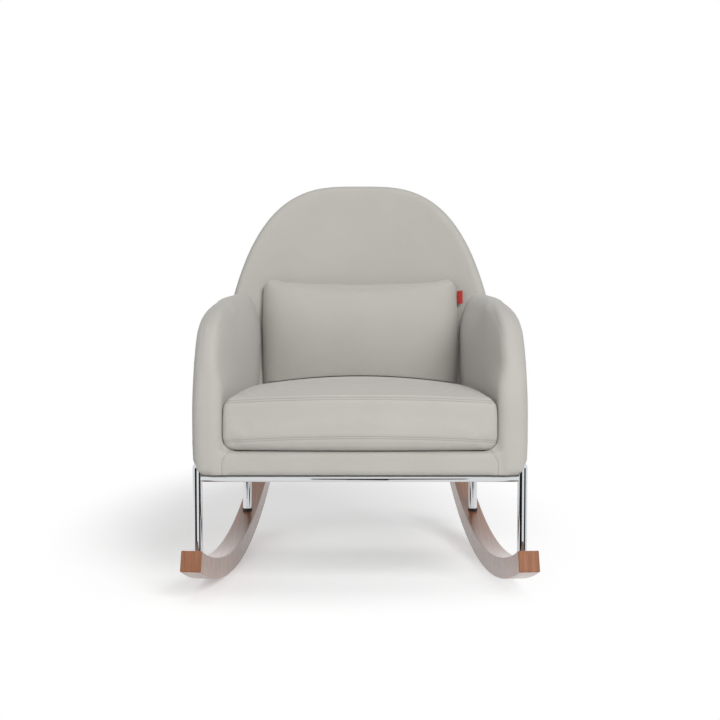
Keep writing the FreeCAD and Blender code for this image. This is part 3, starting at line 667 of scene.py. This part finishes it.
class CHAIR_OT_seat_cushion(bpy.types.Operator):
    """Stuff and sew the boxed seat cushion"""

    bl_idname = "chair.seat_cushion"
    bl_label = "Seat cushion"

    # Height of each seam in the middle of the front, and its fall towards the sides
    SEAMS = ((0.4415, 0.010), (0.4372, 0.010), (0.357, 0.0112), (0.3525, 0.0112))
    WIDEN = 1.015
    HELD_FOOT = 0.006
    # How far and how high the front's foot turns under, and where along the cushion it starts
    TUCK = 0.016
    TUCK_HEIGHT = 0.045
    TUCK_RUN = (0.25, 0.33)
    # The CAD solid's crown, a ball: its radius and middle, and the level above which the top is reshaped
    CROWN_RADIUS = 1.7
    CROWN_PLACE = -0.08
    CROWN_LEVEL = -1.238
    RESHAPED_FROM = 0.40
    TOP_SINK = 0.0015
    LYING = (0.88, 0.97)

    def execute(self, context):
        form = context.scene.chair_form
        cushion = copy_of(["seat_cushion"], "boxed_cushion")
        remesh(cushion, 0.006, 5)
        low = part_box("seat_cushion")[0].z
        inflate(cushion, 4.0, form.swell, lambda p: p.z < low + self.HELD_FOOT)
        finish_pad(cushion, 2)
        normals = [v.normal.copy() for v in cushion.data.vertices]
        for vertex, normal in zip(cushion.data.vertices, normals):
            x, y, z = vertex.co
            limit = arm_face(y) - SIDE_GAP
            vertex.co.x = min(max(x * self.WIDEN, -limit), limit)
            vertex.co.z = max(z, low)
            tucked = (1 - share(z, low, low + self.TUCK_HEIGHT)) ** 2 * share(-y, *self.TUCK_RUN)
            vertex.co.y += self.TUCK * tucked
            base = self.RESHAPED_FROM
            if z > base:
                flat_run = x * x + (y - self.CROWN_PLACE) ** 2
                crown = math.sqrt(self.CROWN_RADIUS ** 2 - flat_run) + self.CROWN_LEVEL
                top = seat_top(x, y) - self.TOP_SINK
                lying = eased(share(normal.z, *self.LYING))
                domed = base + (z - base) * (top - base) / (crown - base)
                vertex.co.z = domed * (1 - lying) + top * lying
        for level, fall in self.SEAMS:
            crease(cushion, form.seam_depth, SEAM_WIDTH,
                   lambda p: p.z - level + fall * p.x * p.x / SEAM_SPAN ** 2)
        place_piece(cushion, "seat_cushion", "grey_upholstery",
                    upholstery_cloth("grey_cushion_cloth", self.SEAMS), "seat_cushion")
        return {"FINISHED"}


class CHAIR_OT_pillow(bpy.types.Operator):
    """Stuff the lumbar pillow, and sew on its plain ribbon tab"""

    bl_idname = "chair.pillow"
    bl_label = "Lumbar pillow"

    # Half width and corner radius; ridge of the edge seam; widening, filling of the top and sinking of the foot
    HALF = 0.2363
    CORNER = 0.045
    RIDGE = 0.0014
    RIDGE_FACING = 0.3
    WIDEN = 1.035
    TOP_FILL = 0.007
    TOP_FROM = 0.7
    FOOT_SINK = 0.09
    FOOT_TO = 0.7
    BACK_GAP = 0.001
    SEAT_GAP = 0.0005
    # The tab: its root in the CAD and here, how much longer it is drawn, and how much lower
    TAB_ROOT = 0.232
    TAB_PLACE = 0.2350
    TAB_STRETCH = 1.9
    TAB_DROP = 0.004

    def execute(self, context):
        form = context.scene.chair_form
        pillow = copy_of(["lumbar_pillow"], "soft_pillow")
        remesh(pillow, 0.005)
        inflate(pillow, 3.0, form.pillow_swell)
        finish_pad(pillow, 3)
        self.shape_pillow(pillow)
        place_piece(pillow, "lumbar_pillow", "grey_upholstery",
                    upholstery_cloth("grey_pillow_cloth"), "lumbar_pillow")
        tab = copy_of(["pillow_tab"], "ribbon_tab")
        for vertex in tab.data.vertices:
            vertex.co.x = self.TAB_PLACE + (vertex.co.x - self.TAB_ROOT) * self.TAB_STRETCH
            vertex.co.z -= self.TAB_DROP
        only(tab)
        bevel = tab.modifiers.new("fold", "BEVEL")
        bevel.width = 0.0005
        bevel.segments = 3
        apply_all(tab)
        finish = context.scene.chair_finish
        place_piece(tab, "lumbar_pillow", "red_ribbon",
                    plain_finish("woven_ribbon", finish.ribbon, "BC4640", 1500.0, 0.7), "pillow_tab")
        return {"FINISHED"}

    def shape_pillow(self, pillow):
        """Fills the pillow out, flattens its foot on the seat, rounds its corners and raises its edge seam."""
        low = min(v.co.z for v in pillow.data.vertices)
        high = max(v.co.z for v in pillow.data.vertices)
        half, corner = self.HALF, self.CORNER
        normals = [v.normal.copy() for v in pillow.data.vertices]
        for vertex, normal in zip(pillow.data.vertices, normals):
            edge = max(1 - (normal.y / self.RIDGE_FACING) ** 2, 0.0)
            x, y, z = vertex.co + normal * self.RIDGE * edge
            up = (z - low) / (high - low)
            x *= self.WIDEN
            z += self.TOP_FILL * share(up, self.TOP_FROM, 1.0) * max(1 - (x / half) ** 2, 0.0)
            z -= self.FOOT_SINK * (1 - share(up, 0.0, self.FOOT_TO)) ** 2
            past, above = abs(x) - half + corner, z - high + corner
            if past > 0 and above > 0 and math.hypot(past, above) > corner:
                pull = corner / math.hypot(past, above)
                x = math.copysign(half - corner + past * pull, x)
                z = high - corner + above * pull
            limit = min(arm_face(y) - SIDE_GAP, half)
            vertex.co.x = min(max(x, -limit), limit)
            vertex.co.y = min(y, back_face(vertex.co.x, z) - self.BACK_GAP)
            vertex.co.z = max(z, seat_top(vertex.co.x, vertex.co.y) + self.SEAT_GAP)


class CHAIR_OT_studio(bpy.types.Operator):
    """Set up the pale floor, the soft light and the camera"""

    bl_idname = "chair.studio"
    bl_label = "Studio"

    # Softboxes: name, place, size in metres and power in watts
    LAMPS = (
        ("key", (1.5, -3.7, 2.6), 2.0, 125.0),
        ("fill", (-2.4, -2.8, 1.6), 2.4, 18.0),
        ("top", (0.0, 0.2, 3.4), 3.0, 26.0),
    )
    # Where a front leg stands, and the cards round it: place from the leg, turn in degrees and width
    LEG_HALF = 0.355
    LEG_PLACE = -0.308
    BLACK_CARD = (Vector((-0.24, -0.33, 0.12)), -36, 0.36)
    GREY_CARD = (Vector((0.33, -0.25, 0.12)), 53, 0.30)
    REAR_CARD_HALF = 0.275
    CARD_HEIGHT = 0.24

    def execute(self, context):
        scene = context.scene
        settings = scene.chair_studio
        scene.view_settings.view_transform = "Standard"
        camera = bpy.data.cameras.new("studio_camera")
        camera.lens = settings.lens
        camera.sensor_width = 36.0
        holder = bpy.data.objects.new("studio_camera", camera)
        holder.location = (0.0, -settings.distance, settings.height)
        holder.rotation_euler = (math.pi / 2 - settings.tilt, 0.0, 0.0)
        scene.collection.objects.link(holder)
        scene.camera = holder

        bpy.ops.object.select_all(action="DESELECT")
        bpy.ops.mesh.primitive_plane_add(size=60.0, location=(0, 0, 0))
        floor = context.object
        floor.name = "studio_floor"
        floor.data.materials.append(self.floor_paint())
        scene.world = self.white_world()
        for name, place, size, power in self.LAMPS:
            self.lamp(name, place, size, power)
        black = plain_finish("black_felt", "030303", "060606", 300.0, 1.0)
        grey = plain_finish("grey_felt", "3C3C3E", "48484A", 300.0, 1.0)
        for side in (-1, 1):
            leg = Vector((side * self.LEG_HALF, self.LEG_PLACE, 0.0))
            cards = (("black", black, self.BLACK_CARD), ("grey", grey, self.GREY_CARD))
            for name, felt, (offset, turn, width) in cards:
                self.card(f"flag_{name}_{side}", leg + offset, turn, width, felt)
            self.card(f"flag_rear_{side}", Vector((side * self.REAR_CARD_HALF, -0.03, 0.19)), 0, 0.05, black)
        return {"FINISHED"}

    def card(self, name, place, turn, width, felt):
        """A dark card that only reflections show, for the dark lines in polished tube."""
        bpy.ops.object.select_all(action="DESELECT")
        bpy.ops.mesh.primitive_plane_add(size=1.0, location=place, rotation=(math.pi / 2, 0, math.radians(turn)))
        card = bpy.context.object
        card.name = name
        card.scale = (width, self.CARD_HEIGHT, 1.0)
        bpy.ops.object.transform_apply(location=True, rotation=True, scale=True)
        card.data.materials.append(felt)
        card.visible_camera = False
        card.visible_diffuse = False
        card.visible_shadow = False
        card.visible_transmission = False

    def floor_paint(self):
        """Matt white floor paint: it keeps the chair's soft shadow, and runs out into plain white further off. For
        the camera and mirrors it also glows, more strongly under the chair, where this painted light lightens the
        chair's shadow.
        """
        material, tree, shader, place = new_material("white_floor_paint")
        tint = add_node(tree, "ShaderNodeTexNoise", {"Vector": place, "Scale": 2.0})
        tone = add_node(tree, "ShaderNodeMix", {"Factor": tint.outputs["Fac"], "A": linear("F8F8F8"),
                        "B": linear("FAFAFA")}, data_type="RGBA")
        tree.links.new(tone.outputs["Result"], shader.inputs["Base Color"])
        shader.inputs["Roughness"].default_value = 0.9
        shader.inputs["Specular IOR Level"].default_value = 0.1
        path = add_node(tree, "ShaderNodeLightPath")
        seen = add_node(tree, "ShaderNodeMath", {0: path.outputs["Is Camera Ray"], 1: path.outputs["Is Glossy Ray"]},
                        operation="MAXIMUM")
        # Painted light: the floor glows for the camera and mirrors, evenly further off and more under the chair,
        # which lightens the shadow there
        under = add_node(tree, "ShaderNodeVectorMath", {0: place, 1: (0.0, 0.15, 0.0)}, operation="DISTANCE")
        painted_floor_glow = add_node(tree, "ShaderNodeMapRange", {"Value": under.outputs["Value"], "From Min": 0.15,
                          "From Max": 0.6, "To Min": 0.42, "To Max": 0.25}, interpolation_type="SMOOTHSTEP")
        lift = add_node(tree, "ShaderNodeMath", {0: seen.outputs[0], 1: painted_floor_glow.outputs[0]}, operation="MULTIPLY")
        tree.links.new(lift.outputs[0], shader.inputs["Emission Strength"])
        shader.inputs["Emission Color"].default_value = (1, 1, 1, 1)
        behind = add_node(tree, "ShaderNodeVectorMath", {0: place, 1: (0.12, -0.6, 0.0)}, operation="ADD")
        flat = add_node(tree, "ShaderNodeVectorMath", {0: behind.outputs[0], 1: (1.55, 0.77, 0.0)},
                        operation="MULTIPLY")
        away = add_node(tree, "ShaderNodeVectorMath", {0: flat.outputs[0]}, operation="LENGTH")
        far = add_node(tree, "ShaderNodeMapRange", {"Value": away.outputs["Value"], "From Min": 0.5,
                       "From Max": 1.15}, interpolation_type="SMOOTHSTEP")
        fade = add_node(tree, "ShaderNodeMath", {0: far.outputs[0], 1: seen.outputs[0]}, operation="MULTIPLY")
        white = add_node(tree, "ShaderNodeEmission", {"Color": (1, 1, 1, 1), "Strength": 1.0})
        mixed = add_node(tree, "ShaderNodeMixShader", {0: fade.outputs[0], 1: shader.outputs[0], 2: white.outputs[0]})
        output = next(node for node in tree.nodes if node.type == "OUTPUT_MATERIAL")
        tree.links.new(mixed.outputs[0], output.inputs["Surface"])
        return material

    def white_world(self):
        """A soft grey surround that the camera and mirrors see as white."""
        world = bpy.data.worlds.new("white_surround")
        world.use_nodes = True
        tree = world.node_tree
        tree.nodes.clear()
        path = add_node(tree, "ShaderNodeLightPath")
        seen = add_node(tree, "ShaderNodeMath", {0: path.outputs["Is Camera Ray"], 1: path.outputs["Is Glossy Ray"]},
                        operation="MAXIMUM")
        strength = add_node(tree, "ShaderNodeMapRange", {"Value": seen.outputs[0], "To Min": 0.27, "To Max": 1.0})
        back = add_node(tree, "ShaderNodeBackground", {"Color": (1, 1, 1, 1), "Strength": strength.outputs[0]})
        add_node(tree, "ShaderNodeOutputWorld", {"Surface": back.outputs[0]})
        return world

    def lamp(self, name, place, size, power):
        """A square softbox turned towards the chair."""
        light = bpy.data.lights.new(name, "AREA")
        light.size = size
        light.energy = power
        holder = bpy.data.objects.new(name, light)
        holder.location = place
        aim = Vector((0.0, 0.0, 0.45)) - Vector(place)
        holder.rotation_euler = aim.to_track_quat("-Z", "Y").to_euler()
        holder.visible_glossy = False
        bpy.context.scene.collection.objects.link(holder)


STEPS = (
    CHAIR_OT_runners,
    CHAIR_OT_tube_base,
    CHAIR_OT_timber,
    CHAIR_OT_deck,
    CHAIR_OT_shell,
    CHAIR_OT_seat_cushion,
    CHAIR_OT_pillow,
    CHAIR_OT_studio,
)


class CHAIR_PT_sidebar(bpy.types.Panel):
    """Lists the steps that make the chair."""

    bl_idname = "CHAIR_PT_sidebar"
    bl_label = "Rocking Chair"
    bl_space_type = "VIEW_3D"
    bl_region_type = "UI"
    bl_category = "Rocking Chair"

    def draw(self, context):
        for step in STEPS:
            self.layout.operator(step.bl_idname)


GROUPS = {"chair_finish": ChairFinish, "chair_form": ChairForm, "chair_studio": StudioSettings}


def register():
    for kind in (*GROUPS.values(), *STEPS, CHAIR_PT_sidebar):
        bpy.utils.register_class(kind)
    for name, group in GROUPS.items():
        setattr(bpy.types.Scene, name, bpy.props.PointerProperty(type=group))


def unregister():
    for name in GROUPS:
        delattr(bpy.types.Scene, name)
    for kind in (CHAIR_PT_sidebar, *reversed(STEPS), *reversed(list(GROUPS.values()))):
        bpy.utils.unregister_class(kind)


def main():
    register()
    bpy.ops.chair.runners()
    bpy.ops.chair.tube_base()
    bpy.ops.chair.timber()
    bpy.ops.chair.deck()
    bpy.ops.chair.shell()
    bpy.ops.chair.seat_cushion()
    bpy.ops.chair.pillow()
    bpy.ops.chair.studio()
    bpy.context.view_layer.update()


if __name__ == "__main__":
    main()
